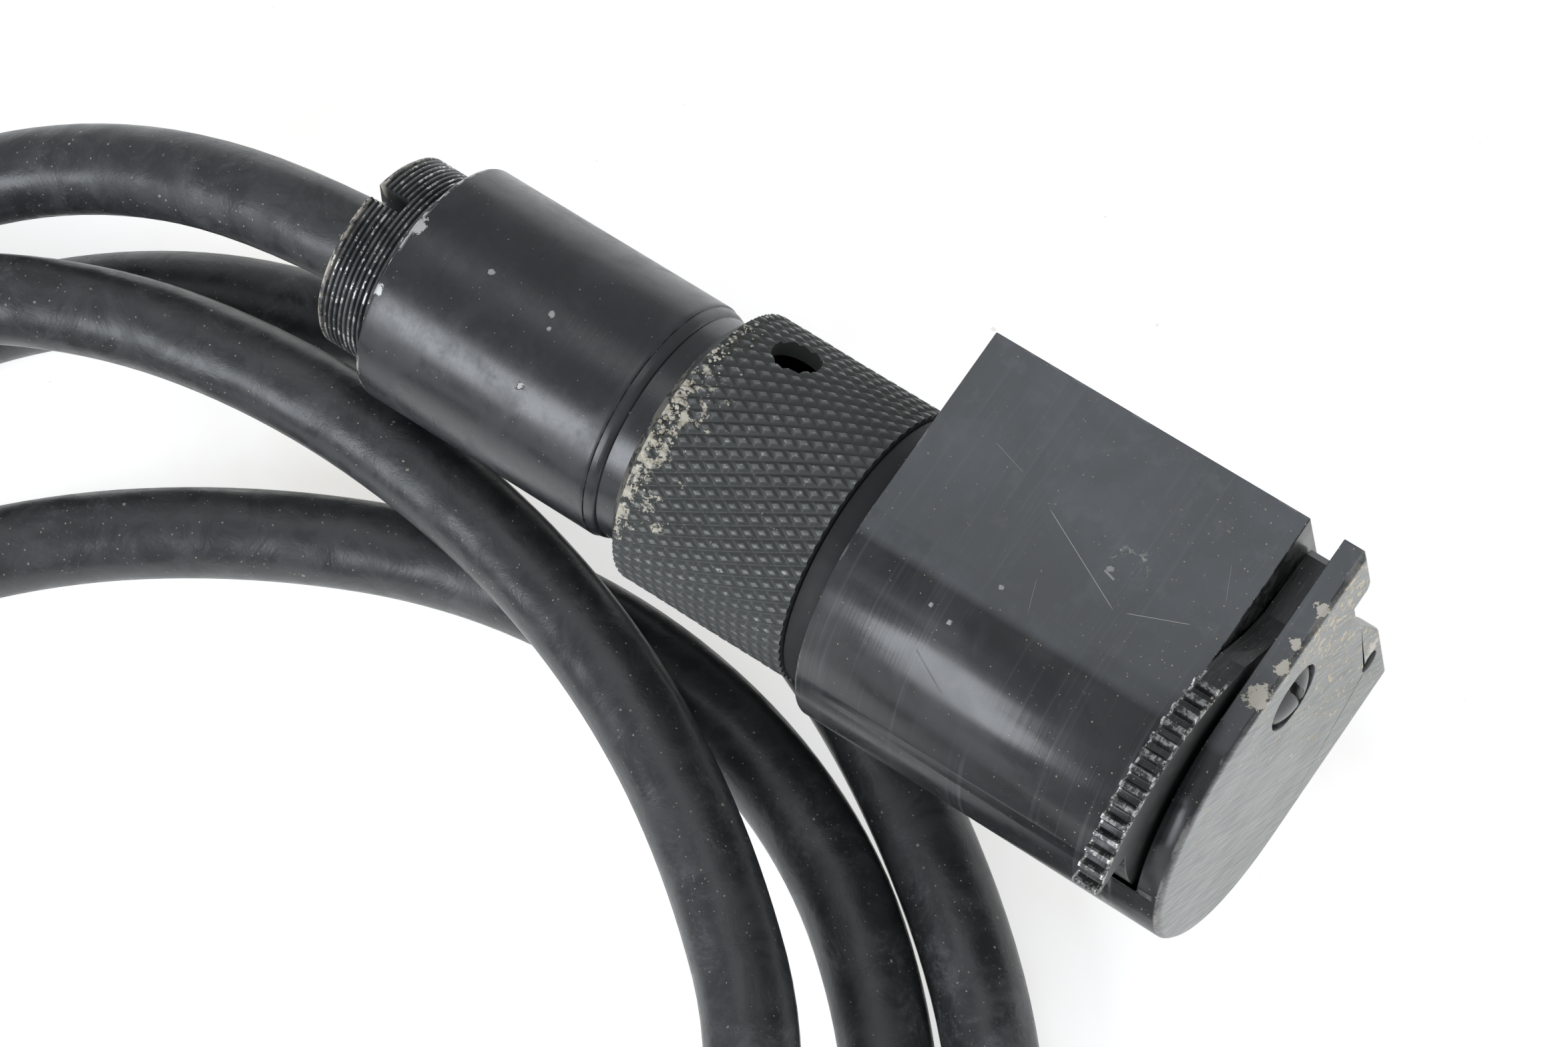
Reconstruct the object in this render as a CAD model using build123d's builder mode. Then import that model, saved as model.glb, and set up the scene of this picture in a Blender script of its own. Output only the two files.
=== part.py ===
from build123d import *
import math
import os

os.makedirs("parts", exist_ok=True)

# Hand release for an electrically fired camera. Frame: X runs along the head from the cable gland
# to the end plate, +Z is the upper flat of the housing, +Y is the housing's square end. The origin
# is the middle of the plain barrel, on its axis. All lengths are millimetres.

# ---- driving dimensions ---------------------------------------------------------------------
cable_dia = 8.0
barrel_radius = 11.0
barrel_length = 24.87
nut_radius = 12.65
housing_radius = 14.2          # the round side and the half height of the housing
housing_square_end = 17.42     # the flat end of the housing, in +Y
housing_left = 35.24
housing_right = 70.58
flange_left = 68.25            # the end plate, left standing beyond the milled slot
slot_left = 65.15
plate_thickness = 2.3
fit = 0.1                      # radial running fit
press_travel = 15.0            # degrees that the thumb plate swings, pressed in

# ---- stations along the axis ------------------------------------------------------------------
barrel_left = -barrel_length / 2
barrel_right = barrel_length / 2
gland_face = barrel_left - 5.98
gland_inner = -7.4
seal_face = gland_inner + 0.8
seal_inner = seal_face + 4.0
neck_step = 14.35
nut_left = 14.5
nut_right = 32.6
nut_knurl_left = 15.51
nut_inner_face = 17.8
ring_left = 17.95
ring_right = 18.75
tail_end = 23.4
gasket_end = 24.2
spigot_flange = 32.75
spigot_end = housing_left + 6.0
cavity_end = 60.15
plate_left = slot_left + 0.2
plate_right = plate_left + plate_thickness

# ---- the hinge of the thumb plate ---------------------------------------------------------------
pivot_y = 5.97
pivot_z = 7.69
pivot_shank_radius = 1.6
slot_floor_radius = 19.4       # milled about the pivot
plate_root_radius = 19.1       # what stays inside the slot
rim_center = (-4.8, 2.5)
rim_radius = 14.9
tooth_count = 13
tooth_height = 0.65
tooth_width = 1.15
tooth_first = 67.5             # degrees round the rim centre, from +Y towards +Z
tooth_last = 138.6

# ---- the switch ---------------------------------------------------------------------------------
rod_radius = 1.25
ramp_depth = 1.3
ramp_half_angle = 65.0         # measured from the axis of the rod
ramp_radius = ramp_depth * math.tan(math.radians(ramp_half_angle))
nose_gap = 0.06
cavity_radius = 10.0
insulator_left = spigot_end + 0.15
insulator_floor = insulator_left + 3.0
insulator_right = 51.0
seat_left = 49.5
seat_right = 51.0
collar_left = 58.0
collar_right = 59.0
bush_left = 59.25
bridge_left = 46.65
bridge_right = 47.45
contact_spacing = 4.5

# ---- the plug at the far end ----------------------------------------------------------------------
plug_radius = 7.5
boot_length = 22.0
body_length = 18.0


def on_x(x, y=0.0, z=0.0):
    """Plane facing +X at station x: its local x is the part's +Y, its local y is +Z."""
    return Plane(origin=(x, y, z), x_dir=(0, 1, 0), z_dir=(1, 0, 0))


def pipe(name, left, right, outer, inner):
    """Round tube along X with square ends."""
    with BuildPart() as tube:
        with BuildSketch(on_x(left)):
            Circle(outer)
            if inner > 0:
                Circle(inner, mode=Mode.SUBTRACT)
        extrude(amount=right - left)
    tube.part.label = name
    return tube.part


def save(part):
    export_step(part, f"parts/{part.label}.step")


def polar(center, radius, degrees):
    angle = math.radians(degrees)
    return (center[0] + radius * math.cos(angle), center[1] + radius * math.sin(angle))


# ---- barrel: the plain grip, with the swivel neck and the tail inside the union nut -----------------
lip = 1.1                      # the shoulder beside the neck, turned down a little and rounded
gland_bore = 9.0
neck_radius = 10.5
tail_radius = 9.5
wire_bore = 8.0
cable_hole = 5.0
with BuildPart() as barrel:
    with BuildSketch(Plane.XY):
        with BuildLine():
            Polyline(
                (barrel_left, gland_bore), (barrel_left, barrel_radius - 0.3),
                (barrel_left + 0.3, barrel_radius), (barrel_right - lip, barrel_radius),
                (barrel_right - lip, barrel_radius - 0.15), (barrel_right - 0.35, barrel_radius - 0.25),
                (barrel_right, neck_radius), (neck_step, neck_radius), (neck_step, tail_radius),
                (tail_end, tail_radius), (tail_end, wire_bore), (-0.6, wire_bore), (-0.6, cable_hole),
                (seal_inner, cable_hole), (seal_inner, gland_bore), close=True,
            )
        make_face()
    revolve(axis=Axis.X)
barrel.part.label = "barrel"
save(barrel.part)

# ---- gland nut: outside thread, two driver slots across its end -------------------------------------
gland_radius = 8.98
driver_slot_width = 1.6
driver_slot_depth = 3.3
driver_slot_angle = 14.0       # from +Z towards +Y
with BuildPart() as gland_nut:
    with BuildSketch(on_x(gland_face)):
        Circle(gland_radius)
        Circle(cable_dia / 2 + 0.5, mode=Mode.SUBTRACT)
    extrude(amount=gland_inner - gland_face)
    chamfer(gland_nut.edges().filter_by(GeomType.CIRCLE).sort_by(Axis.X)[:2].sort_by(SortBy.RADIUS)[-1], 0.3)
    with BuildSketch(on_x(gland_face).rotated((0, 0, -driver_slot_angle))):
        Rectangle(driver_slot_width, 3 * gland_radius)
    extrude(amount=driver_slot_depth, mode=Mode.SUBTRACT)
gland_nut.part.label = "gland_nut"
save(gland_nut.part)

save(pipe("pressure_washer", gland_inner, seal_face, 8.8, cable_dia / 2 + 0.5))
save(pipe("gland_seal", seal_face, seal_inner, 8.8, cable_dia / 2))

# ---- union nut: captive on the barrel tail, knurled, with a radial hole for a tommy bar --------------
tommy_radius = 2.15
tommy_x = 21.0
tommy_angle = 42.5             # from +Z towards +Y
nut_bore = 11.1
nut_hole = tail_radius + fit
with BuildPart() as union_nut:
    with BuildSketch(Plane.XY):
        with BuildLine():
            Polyline(
                (nut_left, nut_hole), (nut_left, barrel_radius), (nut_knurl_left, nut_radius - 0.35),
                (nut_knurl_left + 0.35, nut_radius), (nut_right - 0.3, nut_radius),
                (nut_right, nut_radius - 0.3), (nut_right, nut_bore), (nut_inner_face, nut_bore),
                (nut_inner_face, nut_hole), close=True,
            )
        make_face()
    revolve(axis=Axis.X)
    tommy_dir = (0, math.sin(math.radians(tommy_angle)), math.cos(math.radians(tommy_angle)))
    with BuildSketch(Plane(origin=(tommy_x, 0, 0), x_dir=(1, 0, 0), z_dir=tommy_dir).offset(9.0)):
        Circle(tommy_radius)
    extrude(amount=6.0, mode=Mode.SUBTRACT)
union_nut.part.label = "union_nut"
save(union_nut.part)

save(pipe("retaining_ring", ring_left, ring_right, nut_bore - 0.15, tail_radius))
spigot_bore = 8.4
save(pipe("union_gasket", tail_end, gasket_end, 9.4, spigot_bore))

# ---- head spigot: threaded tube that ties the housing to the union nut ------------------------------
spigot_radius = nut_bore - fit
flange_radius = 12.3
with BuildPart() as head_spigot:
    with BuildSketch(Plane.XY):
        with BuildLine():
            Polyline(
                (gasket_end, spigot_bore), (gasket_end, spigot_radius - 0.4),
                (gasket_end + 0.4, spigot_radius), (spigot_flange, spigot_radius),
                (spigot_flange, flange_radius), (housing_left, flange_radius),
                (housing_left, cavity_radius), (spigot_end, cavity_radius), (spigot_end, spigot_bore),
                close=True,
            )
        make_face()
    revolve(axis=Axis.X)
head_spigot.part.label = "head_spigot"
save(head_spigot.part)


def housing_outline():
    """Half round on the -Y side, flat above and below, square at the +Y end."""
    with BuildSketch() as outline:
        with BuildLine():
            CenterArc((0, 0), housing_radius, 90, 180)
            Polyline(
                (0, -housing_radius), (housing_square_end, -housing_radius),
                (housing_square_end, housing_radius), (0, housing_radius),
            )
        make_face()
    return outline.sketch


# ---- housing: milled slot for the thumb plate, end plate left standing beyond it --------------------
bush_hole_radius = 3.0
relief_depth = 2.75            # how far the end plate is cut back under its upper corner
with BuildPart() as head_body:
    with BuildSketch(on_x(housing_left)):
        add(housing_outline())
    extrude(amount=housing_right - housing_left)
    chamfer(
        head_body.faces().sort_by(Axis.X)[-1].edges(), length=0.45
    )
    with BuildSketch(on_x(housing_left)):
        Circle(cavity_radius)
    extrude(amount=cavity_end - housing_left, mode=Mode.SUBTRACT)
    with BuildSketch(on_x(cavity_end)):
        Circle(bush_hole_radius)
    extrude(amount=slot_left - cavity_end, mode=Mode.SUBTRACT)
    # the slot is milled about the pivot, so its floor is an arc and a web is left below it
    with BuildSketch(on_x(slot_left, pivot_y, pivot_z)):
        Circle(slot_floor_radius)
    extrude(amount=flange_left - slot_left, mode=Mode.SUBTRACT)
    # notch in the square end of the end plate, below its upper corner
    with BuildSketch(on_x(flange_left)):
        with BuildLine():
            Polyline(
                (19.0, 8.7), (17.3, 8.7), (16.5, 7.7), (housing_square_end - relief_depth, 7.7),
                (housing_square_end - relief_depth, 5.2), (15.2, 2.4), (housing_square_end, -4.6),
                (19.0, -4.6), close=True,
            )
        make_face()
    extrude(amount=housing_right - flange_left, mode=Mode.SUBTRACT)
    # pivot hole: clear through the end plate, tapped in the wall behind the slot, head recess outside
    with BuildSketch(on_x(slot_left - 4.5, pivot_y, pivot_z)):
        Circle(pivot_shank_radius)
    extrude(amount=housing_right - slot_left + 4.5, mode=Mode.SUBTRACT)
    with BuildSketch(on_x(housing_right - 1.1, pivot_y, pivot_z)):
        Circle(3.0)
    extrude(amount=1.1, mode=Mode.SUBTRACT)
    # small blind dowel hole low in the square end of the end plate
    with BuildSketch(on_x(housing_right - 1.2, 15.3, -7.0)):
        Circle(1.0)
    extrude(amount=1.2, mode=Mode.SUBTRACT)
head_body.part.label = "head_body"
save(head_body.part)


def plate_outline():
    """Thumb plate at rest: serrated rim on the round side, smooth tail towards the square end."""
    pivot = (pivot_y, pivot_z)
    rim_left = polar(rim_center, rim_radius, 140.6)
    rim_top = polar(rim_center, rim_radius, 66.0)
    root_start = polar(pivot, plate_root_radius, 167.7)
    root_end = polar(pivot, plate_root_radius, 246.0)
    root_mid = polar(pivot, plate_root_radius, 207.0)
    with BuildSketch() as outline:
        with BuildLine():
            ThreePointArc(rim_top, polar(rim_center, rim_radius, 103.0), rim_left)
            Line(rim_left, root_start)
            ThreePointArc(root_start, root_mid, root_end)
            Polyline(
                root_end, (7.5, -3.5), (12.6, 2.6), (16.6, 4.0), (16.6, 9.2), (15.9, 10.0), (10.0, 10.4),
                (7.2, 11.9), (4.4, 14.5), rim_top,
            )
        make_face()
        for tooth in range(tooth_count + 1):
            tooth_angle = tooth_first + tooth * (tooth_last - tooth_first) / tooth_count
            tooth_at = polar(rim_center, rim_radius + tooth_height / 2 - 0.2, tooth_angle)
            with Locations(Location((tooth_at[0], tooth_at[1], 0), (0, 0, tooth_angle - 90))):
                Trapezoid(tooth_width, tooth_height + 0.4, 70)
    return outline.sketch


# ---- thumb plate -------------------------------------------------------------------------------------
with BuildPart() as thumb_plate:
    with BuildSketch(on_x(plate_left)):
        add(plate_outline())
    extrude(amount=plate_thickness)
    with BuildSketch(on_x(plate_left, pivot_y, pivot_z)):
        Circle(pivot_shank_radius + 0.05)
    extrude(amount=plate_thickness, mode=Mode.SUBTRACT)
    # the conical ramp that the nose of the push rod sits in
    with BuildSketch(Plane.XY):
        with BuildLine():
            Polyline((plate_left, 0), (plate_left + ramp_depth, 0), (plate_left, ramp_radius), close=True)
        make_face()
    revolve(axis=Axis.X, mode=Mode.SUBTRACT)
thumb_plate.part.label = "thumb_plate"
save(thumb_plate.part)

# ---- pivot screw: domed slotted head in the recess of the end plate ------------------------------------
screw_seat = housing_right - 1.1
with BuildPart() as pivot_screw:
    with BuildSketch(on_x(slot_left - 4.5, pivot_y, pivot_z)):
        Circle(pivot_shank_radius)
    extrude(amount=screw_seat - slot_left + 4.5)
    with BuildSketch(Plane.XY.offset(pivot_z)):
        with BuildLine():
            Polyline(
                (screw_seat + 1.55, pivot_y), (screw_seat, pivot_y), (screw_seat, pivot_y + 2.7),
                (screw_seat + 0.75, pivot_y + 2.7),
            )
            ThreePointArc(
                (screw_seat + 0.75, pivot_y + 2.7), (screw_seat + 1.35, pivot_y + 1.4),
                (screw_seat + 1.55, pivot_y),
            )
        make_face()
    revolve(axis=Axis((0, pivot_y, pivot_z), (1, 0, 0)))
    with BuildSketch(on_x(screw_seat + 0.55, pivot_y, pivot_z).rotated((0, 0, 22))):
        Rectangle(0.8, 8)
    extrude(amount=2.0, mode=Mode.SUBTRACT)
pivot_screw.part.label = "pivot_screw"
save(pivot_screw.part)

# ---- thrust washer between the thumb plate and the end plate ------------------------------------------
with BuildPart() as pivot_washer:
    with BuildSketch(on_x(plate_right + 0.08, pivot_y, pivot_z)):
        Circle(3.4)
        Circle(pivot_shank_radius, mode=Mode.SUBTRACT)
    extrude(amount=flange_left - plate_right - 0.08)
pivot_washer.part.label = "pivot_washer"
save(pivot_washer.part)

# ---- push rod: cone nose in the ramp of the thumb plate ------------------------------------------------
nose_tip = plate_left + ramp_depth - nose_gap
nose_length = rod_radius / math.tan(math.radians(ramp_half_angle))
ramp_swing = math.hypot(pivot_y, pivot_z) * math.radians(press_travel)
print("push rod travel:", round(ramp_swing / math.tan(math.radians(ramp_half_angle)), 4))
with BuildPart() as push_rod:
    with BuildSketch(Plane.XY):
        with BuildLine():
            Polyline(
                (bridge_left - 0.75, 0), (bridge_left - 0.75, 0.8), (bridge_right, 0.8),
                (bridge_right, rod_radius), (nose_tip - nose_length, rod_radius), (nose_tip, 0), close=True,
            )
        make_face()
    revolve(axis=Axis.X)
push_rod.part.label = "push_rod"
save(push_rod.part)

save(pipe("rod_collar", collar_left, collar_right, 2.6, rod_radius))
save(pipe("rod_bush", bush_left, slot_left, bush_hole_radius, rod_radius + fit))

# ---- switch: insulator cup, spring seat, two fixed contacts and the bridge that closes them -----------
with BuildPart() as switch_insulator:
    with BuildSketch(on_x(insulator_left)):
        Circle(9.8)
        with Locations((-contact_spacing, 0), (contact_spacing, 0)):
            Circle(0.8, mode=Mode.SUBTRACT)
    extrude(amount=insulator_floor - insulator_left)
    with BuildSketch(on_x(insulator_floor)):
        Circle(9.8)
        Circle(8.6, mode=Mode.SUBTRACT)
    extrude(amount=insulator_right - insulator_floor)
switch_insulator.part.label = "switch_insulator"
save(switch_insulator.part)

save(pipe("spring_seat", seat_left, seat_right, 8.6, rod_radius + fit))

with BuildPart() as fixed_contacts:
    with BuildSketch(on_x(insulator_left - 2.0)):
        with Locations((-contact_spacing, 0), (contact_spacing, 0)):
            Circle(0.8)
    extrude(amount=insulator_floor - insulator_left + 2.0)
    with BuildSketch(on_x(insulator_floor)):
        with Locations((-contact_spacing, 0), (contact_spacing, 0)):
            Circle(1.6)
    extrude(amount=1.0)
fixed_contacts.part.label = "fixed_contacts"
save(fixed_contacts.part)

with BuildPart() as contact_bridge:
    with BuildSketch(on_x(bridge_left)):
        SlotOverall(2 * contact_spacing + 4.4, 4.0)
        Circle(0.8, mode=Mode.SUBTRACT)
    extrude(amount=bridge_right - bridge_left)
contact_bridge.part.label = "contact_bridge"
save(contact_bridge.part)

# ---- return spring between the seat and the collar ------------------------------------------------------
spring_wire = 0.5
spring_radius = 2.0
spring_coils = 6
spring_left = seat_right + spring_wire / 2 + 0.05
spring_right = collar_left - spring_wire / 2 - 0.05
with BuildPart() as return_spring:
    with BuildLine():
        spring_path = Helix(
            pitch=(spring_right - spring_left) / spring_coils, height=spring_right - spring_left,
            radius=spring_radius, center=(spring_left, 0, 0), direction=(1, 0, 0),
        )
    with BuildSketch(Plane(origin=spring_path @ 0, z_dir=spring_path % 0)):
        Circle(spring_wire / 2)
    sweep()
return_spring.part.label = "return_spring"
save(return_spring.part)

# ---- cable: a free tube, one open route from the gland to the plug ---------------------------------------
cable_start = -1.5
route_shift = barrel_left      # the route is given from the left edge of the barrel
cable_route = [
    # out of the gland and down off the head
    (10.9, 0, 0), (-12, 0, 0), (-36, -4.6, -7.0), (-54, -17.8, -14.0), (-66.5, -33.5, -18.0),
    # first turn, outermost on the left, ending over the other two
    (-73.3, -52.5, -18.5), (-72.3, -72, -18.5), (-63.5, -90, -18.5), (-49.5, -104.5, -18.2),
    (-31.5, -114.5, -14.0), (-12, -119.2, -10.1), (8, -120, -10.1), (27.5, -118.5, -10.1),
    (45, -111.5, -10.1), (59.5, -99.5, -10.1), (68.5, -82.5, -10.2), (69.5, -62.5, -10.4),
    # second turn, past the barrel on top of the third, then down to the floor
    (60.8, -39.6, -10.5), (45, -26.2, -10.4), (28.5, -17.5, -10.1), (10.5, -12.7, -10.1),
    (-10.5, -11.7, -10.2), (-30.8, -15.8, -10.2), (-49.5, -27, -10.0), (-61.2, -42.0, -12.2),
    (-64.8, -60.5, -16.6), (-59.8, -79, -16.2), (-49.3, -94.4, -12.2), (-34.5, -104.8, -10.1),
    (-17, -109.6, -10.1), (1.5, -110.8, -11.0), (19, -109.8, -15.0), (35.5, -106.5, -18.5),
    (51.5, -100.8, -18.5), (65.8, -90.7, -18.5), (74.9, -76.6, -18.5), (78.2, -60, -18.5), (74.6, -44, -18.5),
    # third turn, on the floor
    (65.5, -30.5, -18.5), (50.5, -18.9, -18.5), (31, -13.6, -18.5), (10.5, -15.3, -18.5), (-9, -23.7, -18.5),
    (-25.5, -35.4, -18.5), (-38.2, -51, -18.5), (-43.6, -69, -18.5), (-41, -87.5, -18.5),
    (-31, -103.3, -18.5), (-15.5, -113.8, -18.5), (3.6, -118.5, -18.5), (23.5, -119.3, -18.5),
    (43, -115.3, -18.5), (60.5, -106.3, -18.5), (74.5, -93, -18.5), (84, -76.5, -18.5), (87.3, -58.8, -18.5),
    (83.5, -41.5, -18.5),
    # under the head, which it carries, and round inside the turns to the plug
    (72.4, -25.0, -18.5), (52.0, -10.3, -18.5), (31, -1.7, -18.5), (10, 0.7, -18.5), (-10, -2.6, -18.5),
    (-27.5, -8.4, -18.5), (-42, -20.5, -18.5), (-50.6, -35.8, -18.2), (-53.6, -52.5, -15.6),
    (-50.6, -69, -11.8), (-41.2, -82.6, -10.1), (-27.8, -91.4, -11.6), (-12.4, -94.6, -15.0), (3, -93, -15.0),
]
route_points = [Vector(x + route_shift, y, z) for x, y, z in cable_route]


def arc_radii(points):
    """The largest arc that each corner's two runs have room for."""
    radii = []
    for before, here, after in zip(points, points[1:], points[2:]):
        half_turn = math.radians((here - before).get_angle(after - here)) / 2
        shorter = min((here - before).length, (after - here).length)
        radii.append(0.45 * shorter / math.tan(half_turn))
    return radii


route_radii = arc_radii(route_points)
print("cable arc radii:", [round(radius) for radius in route_radii])
with BuildPart() as cable:
    with BuildLine():
        cable_path = FilletPolyline(*route_points, radius=route_radii)
    with BuildSketch(Plane(origin=cable_path @ 0, z_dir=cable_path % 0)):
        Circle(cable_dia / 2)
    sweep()
cable.part.label = "cable"
save(cable.part)
print("cable length:", round(cable_path.length, 1))
print("cable volume over section times length:",
      round(cable.part.volume / (math.pi * cable_dia ** 2 / 4 * cable_path.length), 4))

# ---- the two insulated cores between the cable's end and the fixed contacts ------------------------------
core_radius = 1.1
core_start = 1.6
with BuildPart() as cable_cores:
    for side in (-1, 1):
        with BuildLine():
            core_path = FilletPolyline(
                (cable_start, side * core_start, 0), (14, side * core_start, 0),
                (28, side * contact_spacing, 0), (insulator_left - 2.0, side * contact_spacing, 0), radius=12,
            )
        with BuildSketch(Plane(origin=core_path @ 0, z_dir=core_path % 0)):
            Circle(core_radius)
        sweep(path=core_path)
cable_cores.part.label = "cable_cores"
save(cable_cores.part)

# ---- plug: boot, body, insert and pins, and the coupling nut that turns on the body -----------------------
plug_direction = (route_points[-1] - route_points[-2]).normalized()
plug_plane = Plane(origin=route_points[-1], z_dir=plug_direction)


def turned(name, profile):
    """Turned piece on the plug's axis: profile is a list of (radius, distance along the plug)."""
    profile_plane = Plane(
        origin=plug_plane.origin, x_dir=plug_plane.x_dir, z_dir=plug_plane.z_dir.cross(plug_plane.x_dir) * -1
    )
    with BuildPart() as piece:
        with BuildSketch(profile_plane):
            with BuildLine():
                Polyline(*profile, close=True)
            make_face()
        revolve(axis=Axis(plug_plane.origin, plug_plane.z_dir))
    piece.part.label = name
    return piece.part


save(turned("cable_boot", [(0, 0), (5.0, 0), (6.6, boot_length - 3), (6.6, boot_length), (0, boot_length)]))
save(turned("plug_body", [
    (0, boot_length), (6.9, boot_length), (plug_radius, boot_length + 0.6),
    (plug_radius, boot_length + 8.0), (5.9, boot_length + 8.0), (5.9, boot_length + body_length),
    (5.0, boot_length + body_length), (5.0, boot_length + 10.0), (0, boot_length + 10.0),
]))
save(turned("plug_nut", [
    (5.9 + fit, boot_length + 8.2), (plug_radius, boot_length + 8.2), (plug_radius, boot_length + 21.0),
    (6.6, boot_length + 21.0), (6.6, boot_length + body_length - 0.3),
    (5.9 + fit, boot_length + body_length - 0.3),
]))
save(turned("plug_lock_ring", [
    (5.0, boot_length + body_length),
    (6.4, boot_length + body_length),
    (6.4, boot_length + body_length + 0.5),
    (5.0, boot_length + body_length + 0.5),
]))
save(turned("plug_insert", [
    (0, boot_length + 10.0), (5.0, boot_length + 10.0), (5.0, boot_length + 15.0), (0, boot_length + 15.0),
]))
pin_plane = plug_plane.offset(boot_length + 15.0)
with BuildPart() as plug_pins:
    with BuildSketch(pin_plane):
        with Locations((-2.2, 0), (2.2, 0)):
            Circle(0.75)
    extrude(amount=5.5)
plug_pins.part.label = "plug_pins"
save(plug_pins.part)
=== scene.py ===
import math
import random

import bmesh
import bpy
import numpy as np
from mathutils import Matrix, Vector


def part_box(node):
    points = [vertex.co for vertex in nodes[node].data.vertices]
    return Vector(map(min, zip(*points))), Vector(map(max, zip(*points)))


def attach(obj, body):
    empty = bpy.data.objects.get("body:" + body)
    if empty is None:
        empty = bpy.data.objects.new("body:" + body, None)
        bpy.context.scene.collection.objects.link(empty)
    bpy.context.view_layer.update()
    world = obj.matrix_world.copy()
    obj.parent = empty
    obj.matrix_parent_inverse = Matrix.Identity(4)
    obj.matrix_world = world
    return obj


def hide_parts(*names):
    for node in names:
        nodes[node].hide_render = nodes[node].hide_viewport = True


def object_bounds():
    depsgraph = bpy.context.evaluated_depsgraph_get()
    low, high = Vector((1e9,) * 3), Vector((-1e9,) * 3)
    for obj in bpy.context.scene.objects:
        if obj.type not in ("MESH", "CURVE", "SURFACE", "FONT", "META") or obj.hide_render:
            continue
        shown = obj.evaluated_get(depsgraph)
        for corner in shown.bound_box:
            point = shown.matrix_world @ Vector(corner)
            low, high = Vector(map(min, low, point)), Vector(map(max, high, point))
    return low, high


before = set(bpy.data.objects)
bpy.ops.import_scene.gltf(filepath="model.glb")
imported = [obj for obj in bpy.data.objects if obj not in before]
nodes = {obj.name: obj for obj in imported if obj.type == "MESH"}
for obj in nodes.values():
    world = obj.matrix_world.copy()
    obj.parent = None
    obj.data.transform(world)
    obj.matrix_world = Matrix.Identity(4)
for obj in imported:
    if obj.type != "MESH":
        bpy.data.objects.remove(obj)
cad_low, cad_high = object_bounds()
MM = 0.001
FLOOR = cad_low.z


# ---- camera --------------------------------------------------------------------------------------
CAMERA_PLACE = (0.164315, -0.08808, 0.40563)
CAMERA_LOOKS = (-0.3180, 0.1969, -0.9274)
CAMERA_UP = (-0.4981, 0.7976, 0.3401)
CAMERA_LENS = 122.46
camera = bpy.data.objects.new("camera", bpy.data.cameras.new("camera"))
camera.data.sensor_width = 36.0
camera.data.lens = CAMERA_LENS
camera.data.clip_start = 0.02
camera.data.clip_end = 20.0
bpy.context.scene.collection.objects.link(camera)
bpy.context.scene.camera = camera
look = Vector(CAMERA_LOOKS).normalized()
side = look.cross(Vector(CAMERA_UP)).normalized()
above = side.cross(look)
turned = Matrix((side, above, -look)).transposed().to_4x4()
camera.matrix_world = Matrix.Translation(CAMERA_PLACE) @ turned


# ---- cable: the route of the CAD tube, in metres from the middle of the barrel -------------------
ROUTE_SHIFT = -12.435
ROUTE = [
    # out of the gland and down off the head
    (10.9, 0, 0), (-12, 0, 0), (-36, -4.6, -7.0), (-54, -17.8, -14.0), (-66.5, -33.5, -18.0),
    # first turn, outermost on the left, ending over the other two
    (-73.3, -52.5, -18.5), (-72.3, -72, -18.5), (-63.5, -90, -18.5), (-49.5, -104.5, -18.2),
    (-31.5, -114.5, -14.0), (-12, -119.2, -10.1), (8, -120, -10.1), (27.5, -118.5, -10.1),
    (45, -111.5, -10.1), (59.5, -99.5, -10.1), (68.5, -82.5, -10.2), (69.5, -62.5, -10.4),
    # second turn, past the barrel on top of the third, then down to the floor
    (60.8, -39.6, -10.5), (45, -26.2, -10.4), (28.5, -17.5, -10.1), (10.5, -12.7, -10.1),
    (-10.5, -11.7, -10.2), (-30.8, -15.8, -10.2), (-49.5, -27, -10.0), (-61.2, -42.0, -12.2),
    (-64.8, -60.5, -16.6), (-59.8, -79, -16.2), (-49.3, -94.4, -12.2), (-34.5, -104.8, -10.1),
    (-17, -109.6, -10.1), (1.5, -110.8, -11.0), (19, -109.8, -15.0), (35.5, -106.5, -18.5),
    (51.5, -100.8, -18.5), (65.8, -90.7, -18.5), (74.9, -76.6, -18.5), (78.2, -60, -18.5),
    (74.6, -44, -18.5),
    # third turn, on the floor
    (65.5, -30.5, -18.5), (50.5, -18.9, -18.5), (31, -13.6, -18.5), (10.5, -15.3, -18.5),
    (-9, -23.7, -18.5), (-25.5, -35.4, -18.5), (-38.2, -51, -18.5), (-43.6, -69, -18.5), (-41, -87.5, -18.5),
    (-31, -103.3, -18.5), (-15.5, -113.8, -18.5), (3.6, -118.5, -18.5), (23.5, -119.3, -18.5),
    (43, -115.3, -18.5), (60.5, -106.3, -18.5), (74.5, -93, -18.5), (84, -76.5, -18.5),
    (87.3, -58.8, -18.5), (83.5, -41.5, -18.5),
    # under the head, which it carries, and round inside the turns to the plug
    (72.4, -25.0, -18.5), (52.0, -10.3, -18.5), (31, -1.7, -18.5), (10, 0.7, -18.5), (-10, -2.6, -18.5),
    (-27.5, -8.4, -18.5), (-42, -20.5, -18.5), (-50.6, -35.8, -18.2), (-53.6, -52.5, -15.6),
    (-50.6, -69, -11.8), (-41.2, -82.6, -10.1), (-27.8, -91.4, -11.6), (-12.4, -94.6, -15.0),
    (3, -93, -15.0),
]
CABLE_RADIUS = 0.004
route = [Vector(((x + ROUTE_SHIFT) * MM, y * MM, z * MM)) for x, y, z in ROUTE]
cable_line = bpy.data.curves.new("cable_run", "CURVE")
cable_line.dimensions = "3D"
cable_line.bevel_depth = CABLE_RADIUS
cable_line.bevel_resolution = 10
cable_line.resolution_u = 10
cable_line.use_fill_caps = True
spline = cable_line.splines.new("NURBS")
spline.points.add(len(route) - 1)
for point, place in zip(spline.points, route):
    point.co = (*place, 1.0)
spline.order_u = 3
spline.use_endpoint_u = True
spline.use_smooth = True
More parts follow.
